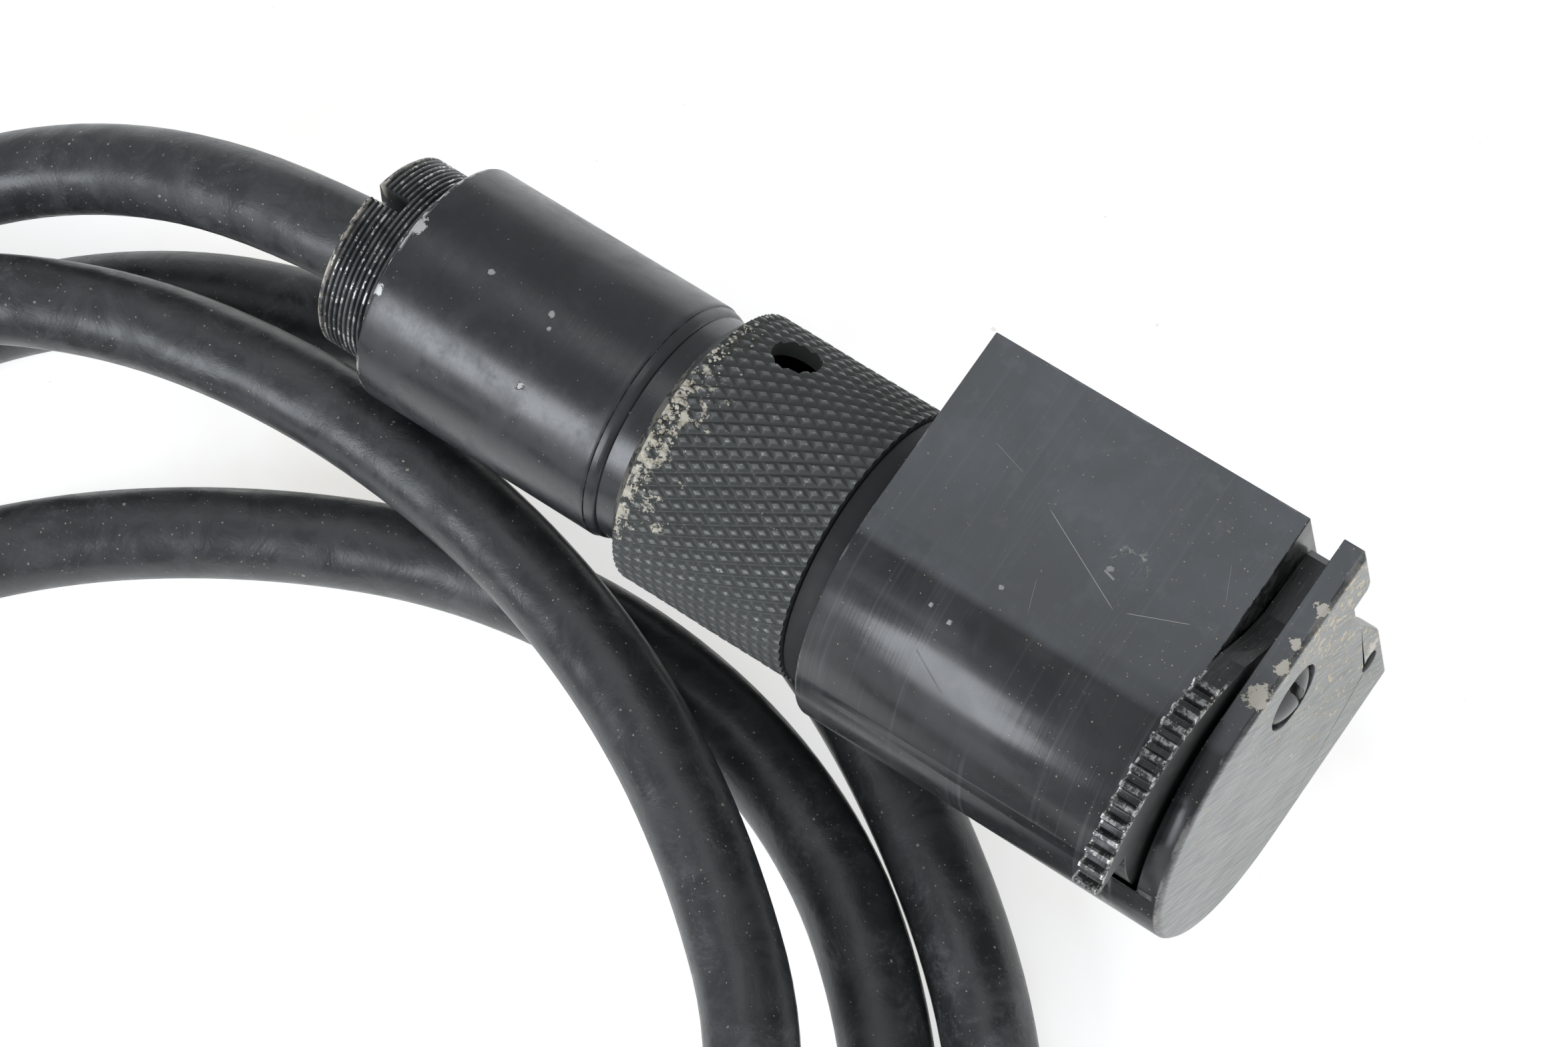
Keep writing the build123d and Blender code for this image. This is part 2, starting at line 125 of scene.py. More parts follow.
cable = bpy.data.objects.new("cable_run", cable_line)
bpy.context.scene.collection.objects.link(cable)


# ---- node helper ---------------------------------------------------------------------------------
class Finish:
    """A material, with short calls for the nodes that it is built from."""

    def __init__(self, name, **sockets):
        self.material = bpy.data.materials.new(name)
        self.material.use_nodes = True
        self.tree = self.material.node_tree
        self.shader = self.tree.nodes["Principled BSDF"]
        for key, value in sockets.items():
            self.shader.inputs[key.replace("_", " ")].default_value = value
        coords = self.tree.nodes.new("ShaderNodeTexCoord")
        self.place = coords.outputs["Object"]
        self.facing = coords.outputs["Normal"]

    def put(self, socket, value):
        """Links a socket, or sets a constant; None leaves the input alone."""
        if isinstance(value, bpy.types.NodeSocket):
            self.tree.links.new(value, socket)
        elif value is not None:
            socket.default_value = value

    def calc(self, operation, a, b=None, c=None, clamp=False):
        node = self.tree.nodes.new("ShaderNodeMath")
        node.operation = operation
        node.use_clamp = clamp
        for socket, value in zip(node.inputs, (a, b, c)):
            self.put(socket, value)
        return node.outputs[0]

    def vector(self, operation, a, b=None, out=0, scale=None):
        node = self.tree.nodes.new("ShaderNodeVectorMath")
        node.operation = operation
        self.put(node.inputs[0], a)
        self.put(node.inputs[1], b)
        if scale is not None:
            self.put(node.inputs["Scale"], scale)
        return node.outputs[out]

    def parts(self, value):
        node = self.tree.nodes.new("ShaderNodeSeparateXYZ")
        self.put(node.inputs[0], value)
        return node.outputs

    def join(self, x, y, z):
        node = self.tree.nodes.new("ShaderNodeCombineXYZ")
        for socket, value in zip(node.inputs, (x, y, z)):
            self.put(socket, value)
        return node.outputs[0]

    def noise(self, stretch, detail=3.0, rough=0.55, warp=0.0, at=None):
        """Noise from 0 to 1 with its own frequency, in cycles per metre, along each axis."""
        node = self.tree.nodes.new("ShaderNodeTexNoise")
        self.put(node.inputs["Vector"], self.vector("MULTIPLY", at or self.place, stretch))
        node.inputs["Scale"].default_value = 1.0
        node.inputs["Detail"].default_value = detail
        node.inputs["Roughness"].default_value = rough
        node.inputs["Distortion"].default_value = warp
        return node.outputs["Fac"]

    def band(self, value, low, high, a=0.0, b=1.0):
        """A smooth step from a to b while the value goes from low to high."""
        node = self.tree.nodes.new("ShaderNodeMapRange")
        node.interpolation_type = "SMOOTHSTEP"
        for key, item in zip(("Value", "From Min", "From Max", "To Min", "To Max"), (value, low, high, a, b)):
            self.put(node.inputs[key], item)
        return node.outputs["Result"]

    def mix(self, factor, a, b):
        """The colour a where the factor is 0 and b where it is 1."""
        node = self.tree.nodes.new("ShaderNodeMix")
        node.data_type = "RGBA"
        self.put(node.inputs["Factor"], factor)
        colour = [s for s in node.inputs if s.type == "RGBA"]
        for socket, value in zip(colour, (a, b)):
            self.put(socket, (*value, 1.0) if isinstance(value, tuple) else value)
        return [s for s in node.outputs if s.type == "RGBA"][0]

    def specks(self, size, share):
        """Scattered specks about size metres across, in that share of the cells."""
        per_metre = 1.0 / (3.0 * size)
        shaken = self.vector(
            "ADD", self.vector("SCALE", self.place, scale=per_metre),
            self.vector("SCALE", self.wander(per_metre * 2.5), scale=0.35),
        )
        node = self.tree.nodes.new("ShaderNodeTexVoronoi")
        self.put(node.inputs["Vector"], shaken)
        node.inputs["Scale"].default_value = 1.0
        pick = self.parts(node.outputs["Color"])
        radius = self.calc("MULTIPLY_ADD", pick[1], 0.16, 0.07)
        inside = self.band(self.calc("SUBTRACT", radius, node.outputs["Distance"]), -0.03, 0.03)
        chosen = self.calc("LESS_THAN", pick[0], share)
        return self.calc("MULTIPLY", inside, chosen)

    def wander(self, per_metre):
        """A noise vector of about half a unit either way, for shaking other patterns."""
        node = self.tree.nodes.new("ShaderNodeTexNoise")
        self.put(node.inputs["Vector"], self.vector("SCALE", self.place, scale=per_metre))
        node.inputs["Scale"].default_value = 1.0
        node.inputs["Detail"].default_value = 2.0
        return self.vector("SUBTRACT", node.outputs["Color"], (0.5, 0.5, 0.5))

    def line(self, start, end, width):
        """A thin scratch from start to end, in metres, fading at its ends."""
        start, end = Vector(start), Vector(end)
        span = end - start
        away = self.vector("SUBTRACT", self.place, tuple(start))
        reached = self.vector("DOT_PRODUCT", away, tuple(span), out=1)
        along = self.calc("DIVIDE", reached, span.length_squared, clamp=True)
        nearest = self.vector("SCALE", tuple(span), scale=along)
        off = self.vector("LENGTH", self.vector("SUBTRACT", away, nearest), out=1)
        ends = self.calc("MULTIPLY", self.band(along, 0.0, 0.08), self.band(along, 1.0, 0.9))
        return self.calc("MULTIPLY", self.band(off, width, width * 0.35), ends)

    def blot(self, centre, radius, raggedness=0.7):
        """A ragged patch round a point."""
        off = self.vector("LENGTH", self.vector("SUBTRACT", self.place, centre), out=1)
        tatters = self.noise((1500.0, 1500.0, 1500.0), detail=5.0, rough=0.75)
        swing = 5.0 * raggedness * radius
        edge = self.calc("MULTIPLY_ADD", tatters, swing, radius - 0.5 * swing)
        return self.band(self.calc("SUBTRACT", edge, off), -0.00004, 0.00006)

    def add(self, *values):
        """Masks laid over one another: the largest of the values."""
        total = values[0]
        for value in values[1:]:
            total = self.calc("MAXIMUM", total, value)
        return total

    def times(self, *values):
        total = values[0]
        for value in values[1:]:
            total = self.calc("MULTIPLY", total, value)
        return total

    def bump(self, height, depth, over=None):
        """Raises the surface by depth metres where height is 1."""
        node = self.tree.nodes.new("ShaderNodeBump")
        node.inputs["Distance"].default_value = depth
        node.inputs["Strength"].default_value = 1.0
        self.put(node.inputs["Height"], height)
        self.put(node.inputs["Normal"], over)
        return node.outputs["Normal"]

    def done(self, colour=None, roughness=None, normal=None, metallic=None):
        self.put(self.shader.inputs["Base Color"], (*colour, 1.0) if isinstance(colour, tuple) else colour)
        self.put(self.shader.inputs["Roughness"], roughness)
        self.put(self.shader.inputs["Metallic"], metallic)
        self.put(self.shader.inputs["Normal"], normal)
        return self.material


SILVER = (0.62, 0.62, 0.60)
CREAM = (0.72, 0.66, 0.52)


def brushed(finish, depth=0.000010, slow=140.0, fast=6200.0):
    """Fine tool marks across the axis: round the turned pieces, straight across the flats."""
    fine = finish.noise((fast, slow, slow), detail=2.0, rough=0.7)
    coarse = finish.noise((fast * 0.28, slow * 0.5, slow * 0.5), detail=2.0)
    both = finish.calc("MULTIPLY_ADD", coarse, 0.5, finish.calc("MULTIPLY", fine, 0.5))
    return both, finish.bump(both, depth)


def anodised():
    """Satin black turned metal of the barrel, with smudges in its shine and chipped rims."""
    f = Finish("black_anodised", IOR=1.62)
    grain, normal = brushed(f, 0.000018)
    x = f.parts(f.place)[0]
    cloud = f.noise((170.0, 170.0, 170.0), detail=5.0, rough=0.62, warp=0.6)
    smudge = f.band(cloud, 0.44, 0.66)
    fine_cloud = f.band(f.noise((620.0, 620.0, 620.0), detail=4.0, rough=0.7), 0.42, 0.68)
    colour = f.mix(smudge, (0.0105, 0.0115, 0.0135), (0.020, 0.022, 0.026))
    colour = f.mix(f.times(grain, 0.5), colour, (0.030, 0.032, 0.036))
    rim = f.band(x, -0.01195, -0.01225)
    ragged = f.band(f.noise((1500.0, 420.0, 420.0), detail=4.0, rough=0.7), 0.53, 0.56)
    chips = f.times(rim, ragged)
    big = f.blot((-0.01215, 0.00075, 0.01095), 0.00075)
    low = f.blot((-0.01225, -0.0052, 0.0097), 0.0006)
    dents = f.add(
        f.blot((-0.0043, 0.0008, 0.0110), 0.00034), f.blot((0.0022, 0.0004, 0.0110), 0.00032),
        f.blot((0.0028, -0.0008, 0.0110), 0.00022), f.blot((0.0030, -0.0058, 0.0094), 0.00034),
    )
    lip = f.times(f.band(f.calc("ABSOLUTE", f.calc("SUBTRACT", x, 0.01134)), 0.00007, 0.00003), 0.45)
    worn = f.add(chips, big, low)
    dust = f.specks(0.00009, 0.05)
    colour = f.mix(f.times(lip, f.band(fine_cloud, 0.2, 0.8)), colour, (0.12, 0.12, 0.125))
    colour = f.mix(f.times(dust, 0.8), colour, (0.35, 0.33, 0.29))
    colour = f.mix(f.times(dents, 0.75), colour, (0.50, 0.49, 0.46))
    colour = f.mix(worn, colour, SILVER)
    rough = f.calc("MULTIPLY_ADD", smudge, 0.10, 0.255)
    rough = f.calc("MULTIPLY_ADD", fine_cloud, 0.07, rough)
    rough = f.calc("MULTIPLY_ADD", f.add(worn, dust), 0.22, rough)
    hits = f.bump(f.add(worn, dents), -0.00004, over=normal)
    return f.done(colour, rough, hits, f.times(worn, 0.55))


def threaded():
    """Black gland nut with bright worn crests and a chipped, dusty rim."""
    f = Finish("black_thread", IOR=1.55)
    grain, normal = brushed(f, 0.000010, slow=300.0)
    x, y, z = f.parts(f.place)
    radius = f.vector("LENGTH", f.join(0.0, y, z), out=1)
    crest = f.band(radius, 0.00886, 0.00895)
    patch = f.band(f.noise((420.0, 300.0, 300.0), detail=4.0, rough=0.65), 0.43, 0.60)
    chip = f.band(f.noise((1600.0, 1100.0, 1100.0), detail=4.0, rough=0.7), 0.55, 0.60)
    rim = f.band(x, -0.0174, -0.0184)
    rim_chips = f.times(rim, f.band(f.noise((900.0, 520.0, 520.0), detail=5.0, rough=0.7), 0.46, 0.53))
    colour = f.mix(patch, (0.030, 0.031, 0.033), (0.056, 0.058, 0.060))
    colour = f.mix(f.times(crest, patch, 0.55), colour, (0.15, 0.15, 0.15))
    colour = f.mix(f.times(crest, chip, 0.9), colour, SILVER)
    colour = f.mix(f.times(rim_chips, 0.92), colour, (0.66, 0.60, 0.50))
    dust = f.specks(0.00012, 0.10)
    colour = f.mix(f.times(dust, 0.8), colour, CREAM)
    rough = f.calc("MULTIPLY_ADD", f.add(rim_chips, dust), 0.2, f.calc("MULTIPLY_ADD", grain, 0.15, 0.34))
    return f.done(colour, rough, f.bump(f.add(rim_chips, dust), 0.00003, over=normal), f.times(crest, chip))


def knurled():
    """Grey-black knurl, worn on its points, with painted glints on its points and pale dirt packed in towards
    its left edge.
    """
    f = Finish("black_knurl", IOR=1.5)
    x, y, z = f.parts(f.place)
    radius = f.vector("LENGTH", f.join(0.0, y, z), out=1)
    angle = f.calc("ARCTAN2", f.calc("MULTIPLY", y, -1.0), z)
    tip = f.band(radius, 0.01254, 0.01263)
    cloud = f.noise((260.0, 260.0, 260.0), detail=4.0, rough=0.6)
    bits = f.noise((1900.0, 1900.0, 1900.0), detail=3.0, rough=0.7)
    crumb = f.noise((900.0, 900.0, 900.0), detail=5.0, rough=0.75)
    # dirt is thickest at the left edge on the upper side and thins out to the right
    left = f.band(x, 0.0225, 0.0157)
    edge = f.band(x, 0.0172, 0.0156)
    upper = f.times(f.band(angle, -0.75, 0.0), f.band(angle, 1.55, 0.85))
    shown = f.times(upper, f.calc("MULTIPLY_ADD", left, 0.75, f.calc("MULTIPLY_ADD", edge, 0.25, 0.22)))
    limit = f.calc("MULTIPLY_ADD", shown, -0.20, 0.70)
    dirt = f.band(f.calc("SUBTRACT", crumb, limit), 0.0, 0.03)
    # painted highlights: bright specks on the knurl points, mixed into the colour below as light grey, stand in
    # for glints
    painted_glints = f.times(tip, f.band(bits, 0.56, 0.62), f.band(cloud, 0.40, 0.60))
    colour = f.mix(cloud, (0.046, 0.049, 0.047), (0.085, 0.090, 0.086))
    colour = f.mix(f.times(tip, 0.6), colour, (0.20, 0.21, 0.20))
    colour = f.mix(f.times(painted_glints, 0.85), colour, (0.42, 0.43, 0.41))
    colour = f.mix(dirt, colour, f.mix(bits, (0.42, 0.38, 0.29), (0.80, 0.77, 0.68)))
    ring = f.times(f.band(x, 0.01552, 0.01546), f.band(x, 0.01440, 0.01450))
    _, turned_normal = brushed(f, 0.000008)
    colour = f.mix(f.times(ring, 0.8), colour, (0.030, 0.031, 0.033))
    rough = f.calc("MULTIPLY_ADD", tip, -0.14, f.calc("MULTIPLY_ADD", dirt, 0.3, 0.52))
    normal = f.bump(f.calc("MULTIPLY_ADD", dirt, 0.8, f.times(bits, 0.35)), 0.00004, over=turned_normal)
    return f.done(colour, rough, normal)


def housing():
    """Black housing: milled grain across the flat, worn rims, scratches, a dusty scratched end face, painted
    reflections lightening the flat and the end face, and painted shade in the slot.
    """
    f = Finish("black_housing", IOR=1.58)
    x, y, z = f.parts(f.place)
    facing = f.parts(f.facing)
    nx, nz = facing[0], facing[2]
    grain, normal = brushed(f, 0.000016, slow=55.0, fast=3000.0)
    flat = f.times(f.band(z, 0.01395, 0.01410), f.band(nz, 0.7, 0.95))
    face = f.times(f.band(nx, 0.6, 0.9), f.band(x, 0.0700, 0.0703))
    slot = f.times(f.band(x, 0.06505, 0.06515), f.band(x, 0.06835, 0.06825))
    cloud = f.noise((130.0, 130.0, 130.0), detail=5.0, rough=0.6, warp=0.5)
    patch = f.noise((420.0, 420.0, 420.0), detail=4.0, rough=0.65)

    # side and flat: the flat's grey, much lighter than the side, is a painted reflection of the overhead light,
    # with random paler patches
    colour = f.mix(f.band(cloud, 0.35, 0.68), (0.015, 0.016, 0.0175), (0.030, 0.032, 0.034))
    flat_patches_and_painted_light = f.mix(f.band(cloud, 0.35, 0.68), (0.082, 0.088, 0.094), (0.112, 0.119, 0.127))
    flat_patches_and_painted_light = f.mix(f.times(f.band(patch, 0.5, 0.7), 0.35), flat_patches_and_painted_light, (0.150, 0.157, 0.164))
    # painted shade: the flat is darkened towards low y
    flat_patches_and_painted_light = f.mix(f.band(y, 0.009, 0.001, 0.0, 0.35), flat_patches_and_painted_light, (0.046, 0.049, 0.052))
    colour = f.mix(flat, colour, flat_patches_and_painted_light)
    streak = f.band(grain, 0.52, 0.72)
    colour = f.mix(f.times(streak, 0.42), colour, (0.15, 0.157, 0.165))

    # end face: two crossing sets of fine scratches and sandy dust, thicker at the top right, over a grey ground
    # much lighter than the side that is a painted reflection of the white floor
    leaning_a = f.vector("ADD", f.place, f.join(0.0, f.times(z, 0.8), 0.0))
    leaning_b = f.vector("ADD", f.place, f.join(0.0, 0.0, f.times(y, 0.6)))
    cut_a = f.noise((900.0, 5200.0, 260.0), detail=2.0, at=leaning_a)
    cut_b = f.noise((900.0, 300.0, 5600.0), detail=2.0, at=leaning_b)
    cuts = f.calc("MULTIPLY_ADD", cut_a, 0.5, f.times(cut_b, 0.5))
    face_marks_and_painted_reflection = f.mix(f.band(cuts, 0.38, 0.62), (0.185, 0.195, 0.192), (0.330, 0.340, 0.330))
    dusty = f.calc("ADD", f.times(f.band(y, -0.004, 0.013), 0.10), f.times(f.band(z, -0.012, 0.009), 0.06))
    grit = f.noise((1300.0, 1300.0, 1300.0), detail=4.0, rough=0.7)
    sand = f.band(f.calc("SUBTRACT", grit, f.calc("SUBTRACT", 0.685, dusty)), 0.0, 0.04)
    face_marks_and_painted_reflection = f.mix(f.times(sand, 0.75), face_marks_and_painted_reflection, (0.64, 0.53, 0.36))
    bare = f.blot((0.07058, 0.0159, -0.0050), 0.0008)
    face_marks_and_painted_reflection = f.mix(bare, face_marks_and_painted_reflection, (0.60, 0.57, 0.50))
    colour = f.mix(face, colour, face_marks_and_painted_reflection)

    # worn rims and chips
    def ragged(stretch, low, high):
        return f.band(f.noise(stretch, detail=5.0, rough=0.7), low, high)

    back = f.times(f.band(x, 0.03555, 0.03530), ragged((700.0, 300.0, 300.0), 0.50, 0.58))
    corner = f.times(f.band(y, 0.01715, 0.01735), ragged((380.0, 900.0, 500.0), 0.50, 0.60))
    slot_rim = f.times(
        f.band(x, 0.06498, 0.06512), f.calc("LESS_THAN", x, 0.0660), ragged((900.0, 520.0, 520.0), 0.49, 0.56),
    )
    flange_rim = f.times(
        f.band(x, 0.07000, 0.07016), f.calc("SUBTRACT", 1.0, face), ragged((500.0, 260.0, 260.0), 0.47, 0.60),
    )
    chips = f.add(
        f.blot((0.06985, 0.0030, 0.0142), 0.00105, 0.75), f.blot((0.0701, 0.0060, 0.0142), 0.00065, 0.75),
        f.blot((0.06985, 0.0081, 0.0142), 0.00050, 0.75), f.blot((0.0700, 0.0115, 0.0142), 0.00060, 0.75),
        f.blot((0.0626, -0.0135, -0.0043), 0.0006, 0.75),
    )
    colour = f.mix(f.times(f.add(back, corner, slot_rim), 0.5), colour, (0.30, 0.30, 0.29))
    colour = f.mix(f.times(flange_rim, 0.55), colour, (0.34, 0.33, 0.31))
    colour = f.mix(f.times(chips, 0.9), colour, (0.66, 0.62, 0.53))

    # scratches, a smear and specks on the flat
    top = 0.0142
    long_cut = f.line((0.0472, 0.0073, top), (0.0565, 0.0028, top), 0.000055)
    next_cut = f.line((0.0572, 0.0032, top), (0.0622, 0.0052, top), 0.000055)
    thin_cuts = f.add(
        f.line((0.0405, 0.0096, top), (0.0440, 0.0086, top), 0.00004),
        f.line((0.0497, 0.0020, top), (0.0520, -0.0042, top), 0.00004),
        f.line((0.0620, 0.0110, top), (0.0634, 0.0080, top), 0.00004),
        f.line((0.0382, -0.0030, top), (0.0413, -0.0058, top), 0.00004),
        f.line((0.0443, -0.0075, 0.0121), (0.0478, -0.0092, 0.0108), 0.00006),
    )
    smear_off = f.vector("LENGTH", f.vector("SUBTRACT", f.place, (0.0553, 0.0066, top)), out=1)
    ring_shape = f.band(f.calc("ABSOLUTE", f.calc("SUBTRACT", smear_off, 0.00135)), 0.00055, 0.0001)
    curdled = f.noise((1500.0, 1500.0, 1500.0), detail=5.0, rough=0.8, warp=1.0)
    smear = f.add(
        f.times(ring_shape, f.band(curdled, 0.48, 0.60), f.band(y, 0.0060, 0.0068)),
        f.blot((0.0542, 0.0056, top), 0.00026), f.line((0.0538, 0.0053, top), (0.0550, 0.0050, top), 0.00014),
    )
    points = f.add(
        f.blot((0.0478, -0.0002, top), 0.00024), f.blot((0.0437, -0.0042, 0.0136), 0.00022),
        f.blot((0.0457, -0.0046, 0.0134), 0.00022),
    )
    marks = f.add(long_cut, next_cut, f.times(thin_cuts, 0.6), f.times(smear, 0.8), points)
    colour = f.mix(f.times(marks, 0.72), colour, (0.50, 0.50, 0.47))
    near_teeth = f.band(x, 0.050, 0.064)
    dust = f.add(f.specks(0.00008, 0.055), f.times(f.specks(0.00011, 0.16), near_teeth))
    colour = f.mix(f.times(dust, 0.8), colour, f.mix(patch, (0.34, 0.33, 0.30), (0.72, 0.58, 0.34)))
    # painted shade: the surfaces in the slot are darkened towards black
    colour = f.mix(f.times(slot, 0.4), colour, (0.020, 0.020, 0.020))

    rough = f.calc("MULTIPLY_ADD", f.band(cloud, 0.35, 0.68), 0.10, 0.25)
    rough = f.calc("MULTIPLY_ADD", flat, 0.14, rough)
    rough = f.calc("MULTIPLY_ADD", face, 0.10, rough)
    rough = f.calc("MULTIPLY_ADD", f.add(chips, dust, marks), 0.25, rough)
    on_face = f.bump(cuts, 0.000016, over=f.bump(sand, 0.00005))
    blend = f.tree.nodes.new("ShaderNodeMix")
    blend.data_type = "VECTOR"
    first, second = [s for s in blend.inputs if s.type == "VECTOR" and s.name in ("A", "B")]
    f.put(blend.inputs["Factor"], face)
    f.put(first, normal)
    f.put(second, on_face)
    mixed = [s for s in blend.outputs if s.type == "VECTOR"][0]
    return f.done(colour, rough, f.bump(f.add(chips, marks), -0.00004, over=mixed))


def plate():
    """Thumb plate: bright worn teeth with cream dirt between them, dusty black flanks, and a painted reflection
    lightening the faces turned towards +X.
    """
    f = Finish("plate_black", IOR=1.55)
    x, y, z = f.parts(f.place)
    nx = f.parts(f.facing)[0]
    out = f.vector("LENGTH", f.vector("SUBTRACT", f.join(0.0, y, z), (0.0, -0.0048, 0.0025)), out=1)
    rim = f.times(f.band(out, 0.01475, 0.01490), f.calc("LESS_THAN", y, 0.0026))
    tips = f.band(out, 0.01525, 0.01538)
    grain = f.noise((5600.0, 500.0, 500.0), detail=2.0)
    cloud = f.noise((380.0, 380.0, 380.0), detail=5.0, rough=0.65)
    ragged = f.band(f.noise((2300.0, 1500.0, 1500.0), detail=4.0, rough=0.75), 0.46, 0.56)
    # the left and right edges of each tooth are worn bright
    edge = f.add(f.band(x, 0.06568, 0.06548), f.band(x, 0.06735, 0.06752))
    bright = f.times(rim, f.add(f.times(edge, 0.9), f.times(tips, 0.35)), ragged)
    bits = f.times(rim, f.specks(0.00022, 0.30))
    dust = f.specks(0.00010, 0.22)
    colour = f.mix(f.band(cloud, 0.35, 0.65), (0.016, 0.017, 0.0165), (0.036, 0.037, 0.036))
    # painted reflection: faces turned towards +X are painted lighter
    right_facing_painted_reflection = f.band(nx, 0.5, 0.9)
    colour = f.mix(f.times(right_facing_painted_reflection, 0.8), colour, (0.066, 0.068, 0.068))
    colour = f.mix(f.times(f.band(grain, 0.5, 0.7), 0.35), colour, (0.11, 0.11, 0.105))
    colour = f.mix(f.times(dust, 0.75), colour, (0.55, 0.49, 0.37))
    colour = f.mix(f.times(bits, 0.9), colour, CREAM)
    colour = f.mix(bright, colour, (0.74, 0.74, 0.71))
    rough = f.calc("MULTIPLY_ADD", f.add(bits, dust), 0.25, f.calc("MULTIPLY_ADD", cloud, 0.2, 0.30))
    rough = f.calc("MULTIPLY_ADD", bright, -0.08, rough)
    return f.done(colour, rough, f.bump(f.calc("MULTIPLY_ADD", bits, 0.6, f.times(grain, 0.4)), 0.00004),
                  f.times(bright, 0.7))


def rubber():
    """Satin black rubber sheath, softly uneven, with bloom patches and cream dust."""
    f = Finish("cable_rubber", IOR=1.52)
    cloud = f.noise((70.0, 70.0, 70.0), detail=5.0, rough=0.62, warp=0.4)
    patch = f.noise((240.0, 240.0, 240.0), detail=5.0, rough=0.7, warp=0.7)
    fine = f.noise((1500.0, 1500.0, 1500.0), detail=3.0, rough=0.7)
    bloom = f.times(f.band(cloud, 0.50, 0.68), f.band(patch, 0.46, 0.66))
    colour = f.mix(f.band(patch, 0.35, 0.65), (0.033, 0.035, 0.037), (0.056, 0.059, 0.061))
    colour = f.mix(f.times(bloom, 0.45), colour, (0.19, 0.20, 0.205))
    dust = f.add(f.specks(0.00012, 0.16), f.times(f.specks(0.00024, 0.07), f.band(cloud, 0.40, 0.55)))
    grains = f.noise((2600.0, 2600.0, 2600.0), detail=2.0)
    powder = f.times(f.band(grains, 0.60, 0.72), f.band(cloud, 0.42, 0.62))
    colour = f.mix(f.times(powder, 0.35), colour, (0.20, 0.19, 0.165))
    colour = f.mix(f.times(dust, 0.72), colour, f.mix(fine, (0.42, 0.35, 0.25), (0.52, 0.49, 0.43)))
    rough = f.calc("MULTIPLY_ADD", f.band(patch, 0.35, 0.70), 0.15, 0.31)
    rough = f.calc("MULTIPLY_ADD", f.add(dust, powder), 0.3, rough)
    wave = f.bump(f.noise((95.0, 95.0, 95.0), detail=2.0), 0.0009)
    skin = f.bump(patch, 0.00009, over=wave)
    gritty = f.calc("MULTIPLY_ADD", dust, 0.7, f.times(fine, 0.4))
    return f.done(colour, rough, f.bump(gritty, 0.00003, over=skin))


def turned_metal(name, dark, light, roughness, metallic, depth=0.000010):
    """A turned metal piece: tool marks round its axis, blotches and a little dust."""
    f = Finish(name, Metallic=metallic)
    grain, normal = brushed(f, depth)
    cloud = f.noise((300.0, 300.0, 300.0), detail=4.0, rough=0.6)
    colour = f.mix(f.calc("MULTIPLY_ADD", grain, 0.4, f.times(f.band(cloud, 0.35, 0.65), 0.6)), dark, light)
    dust = f.specks(0.0001, 0.06)
    colour = f.mix(f.times(dust, 0.6), colour, (0.45, 0.41, 0.33))
    rough = f.calc("MULTIPLY_ADD", cloud, 0.2, roughness - 0.1)
    return f.done(colour, rough, normal)


def moulded(name, dark, light, roughness, grain=1400.0, depth=0.00002):
    """A moulded plastic or rubber piece with a fine pebbled skin."""
    f = Finish(name)
    fine = f.noise((grain,) * 3, detail=3.0, rough=0.6)
    cloud = f.noise((200.0, 200.0, 200.0), detail=4.0)
    colour = f.mix(f.band(cloud, 0.3, 0.7), dark, light)
    colour = f.mix(f.times(f.specks(0.00011, 0.08), 0.6), colour, (0.42, 0.38, 0.30))
    return f.done(colour, f.calc("MULTIPLY_ADD", fine, 0.2, roughness - 0.1), f.bump(fine, depth))


FINISH = {
    "black_metal": anodised(),
    "thread_metal": threaded(),
    "knurl_metal": knurled(),
    "dark_metal": turned_metal("matt_black", (0.006, 0.0065, 0.007), (0.013, 0.014, 0.015), 0.62, 0.0),
    "housing_metal": housing(),
    "plate_metal": plate(),
    "screw_metal": turned_metal("screw_black", (0.012, 0.012, 0.013), (0.034, 0.035, 0.035), 0.30, 0.0),
    "steel": turned_metal("bright_steel", (0.42, 0.42, 0.43), (0.62, 0.62, 0.62), 0.32, 1.0),
    "brass": turned_metal("brass", (0.50, 0.34, 0.12), (0.72, 0.53, 0.24), 0.30, 1.0),
    "insulator": moulded("insulator_brown", (0.055, 0.028, 0.016), (0.085, 0.044, 0.024), 0.40),
    "rubber_seal": moulded("seal_rubber", (0.012, 0.012, 0.012), (0.024, 0.024, 0.023), 0.60),
    "cable_rubber": rubber(),
    "core_plastic": moulded("core_red", (0.32, 0.035, 0.025), (0.42, 0.055, 0.035), 0.40),
    "boot_rubber": moulded(
        "boot_rubber", (0.012, 0.0125, 0.013), (0.026, 0.027, 0.028), 0.50, 1800.0, 0.00003,
    ),
    "plug_metal": turned_metal("plug_black", (0.012, 0.013, 0.014), (0.030, 0.032, 0.034), 0.34, 0.0),
    "plug_knurl": turned_metal("plug_knurl_black", (0.014, 0.015, 0.015), (0.042, 0.044, 0.043), 0.38, 0.0),
}


# ---- CAD nodes keep their shape and get finishes and softened edges ------------------------------
SOFT_EDGE = {
    "head_body": 0.14, "thumb_plate": 0.07, "pivot_screw": 0.06, "plug_body": 0.12, "head_spigot": 0.12,
    "plug_pins": 0.15, "pivot_washer": 0.05,
}
for name, obj in nodes.items():
    material = FINISH[obj.data.materials[0].name.split(".")[0]]
    obj.data.materials.clear()
    obj.data.materials.append(material)
    if name in SOFT_EDGE:
        weld = obj.modifiers.new("weld", "WELD")
        weld.merge_threshold = 1e-6
        bevel = obj.modifiers.new("edge", "BEVEL")
        bevel.width = SOFT_EDGE[name] * MM
        bevel.segments = 2
        bevel.limit_method = "ANGLE"
        bevel.angle_limit = math.radians(38)
        bevel.use_clamp_overlap = False
        bevel.harden_normals = True


